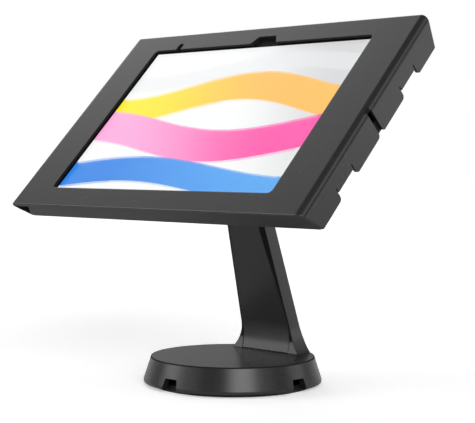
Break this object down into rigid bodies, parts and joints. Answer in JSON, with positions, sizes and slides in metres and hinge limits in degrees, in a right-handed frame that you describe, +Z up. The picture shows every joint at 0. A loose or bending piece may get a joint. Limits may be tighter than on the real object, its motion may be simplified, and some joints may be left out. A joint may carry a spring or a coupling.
{
  "type": "tablet security kiosk stand",
  "caption": "Countertop kiosk stand: a locked dark metal enclosure round a tablet tilts and turns on a leaning neck over a weighted round base.",
  "frame": {"origin": "on the counter, under the middle of the round base", "axes": "+Z up; -Y towards the user in front of the screen; +X to the user's right, along the screen's long edge"},
  "size_m": [0.303, 0.1664, 0.2766],
  "materials": {
    "dark_coat": "dark grey powder coat, fine texture, satin",
    "black_steel": "blackened steel",
    "zinc_steel": "zinc-plated steel",
    "rubber": "matt black rubber",
    "foam": "closed-cell black foam",
    "friction_plastic": "low-friction white plastic",
    "lock_chrome": "nickel-plated lock",
    "tablet_aluminium": "bead-blasted aluminium",
    "cover_glass": "clear cover glass over a black border",
    "display": "lit display",
    "battery_wrap": "black battery wrap",
    "circuit_board": "green circuit board",
    "lens_black": "black lens module"
  },
  "bodies": {
    "stand": {"stand_body": "dark_coat", "neck_cover": "dark_coat", "neck_cover_screws": "black_steel", "base_plate": "black_steel", "base_pad": "rubber", "base_screws": "zinc_steel", "tilt_bolt": "black_steel", "tilt_nut": "black_steel", "tilt_washers": "black_steel", "friction_washers": "friction_plastic"},
    "tilt_head": {"tilt_bracket": "dark_coat", "turn_friction_ring": "friction_plastic", "turn_stop_pin": "zinc_steel", "turn_washer": "zinc_steel", "turn_nut": "zinc_steel"},
    "tray": {"rear_tray": "dark_coat", "tray_pads": "foam", "turn_plate": "dark_coat", "turn_screws": "zinc_steel", "lock_housings": "lock_chrome", "lock_nuts": "zinc_steel"},
    "front": {"front_frame": "dark_coat", "front_gasket": "foam", "frame_catches": "dark_coat", "tablet_brackets": "zinc_steel", "bracket_studs": "zinc_steel", "bracket_nuts": "zinc_steel", "tablet_shell": "tablet_aluminium", "tablet_glass": "cover_glass", "tablet_display": "display", "tablet_battery": "battery_wrap", "tablet_board": "circuit_board", "tablet_camera": "lens_black"},
    "left_lock": {"left_lock_plug": "lock_chrome", "left_lock_cam": "zinc_steel", "left_cam_screw": "zinc_steel"},
    "right_lock": {"right_lock_plug": "lock_chrome", "right_lock_cam": "zinc_steel", "right_cam_screw": "zinc_steel"},
    "power_button": {"power_button": "tablet_aluminium"},
    "volume_up_button": {"volume_up_button": "tablet_aluminium"},
    "volume_down_button": {"volume_down_button": "tablet_aluminium"}
  },
  "joints": [
    {"name": "tilt", "type": "hinge", "parent": "stand", "child": "tilt_head", "pos_m": [0, 0.0015, 0.1764], "axis": [1, 0, 0], "range_deg": [-30, 24]},
    {"name": "turn", "type": "hinge", "parent": "tilt_head", "child": "tray", "pos_m": [0, -0.02986, 0.20727], "axis": [0, -0.7126, 0.7015], "range_deg": [-90, 90]},
    {"name": "front_lift", "type": "slide", "parent": "tray", "child": "front", "axis": [0, -0.7126, 0.7015], "range_m": [0, 0.05]},
    {"name": "left_lock_turn", "type": "hinge", "parent": "tray", "child": "left_lock", "pos_m": [-0.131, -0.01774, 0.19534], "axis": [0, -0.7126, 0.7015], "range_deg": [0, 90]},
    {"name": "right_lock_turn", "type": "hinge", "parent": "tray", "child": "right_lock", "pos_m": [0.131, -0.01774, 0.19534], "axis": [0, 0.7126, -0.7015], "range_deg": [0, 90]},
    {"name": "power_press", "type": "slide", "parent": "front", "child": "power_button", "axis": [1, 0, 0], "range_m": [0, 0.0004], "stiffness_N_per_m": 400},
    {"name": "volume_up_press", "type": "slide", "parent": "front", "child": "volume_up_button", "axis": [0, -0.7015, -0.7126], "range_m": [0, 0.0004], "stiffness_N_per_m": 400},
    {"name": "volume_down_press", "type": "slide", "parent": "front", "child": "volume_down_button", "axis": [0, -0.7015, -0.7126], "range_m": [0, 0.0004], "stiffness_N_per_m": 400}
  ]
}
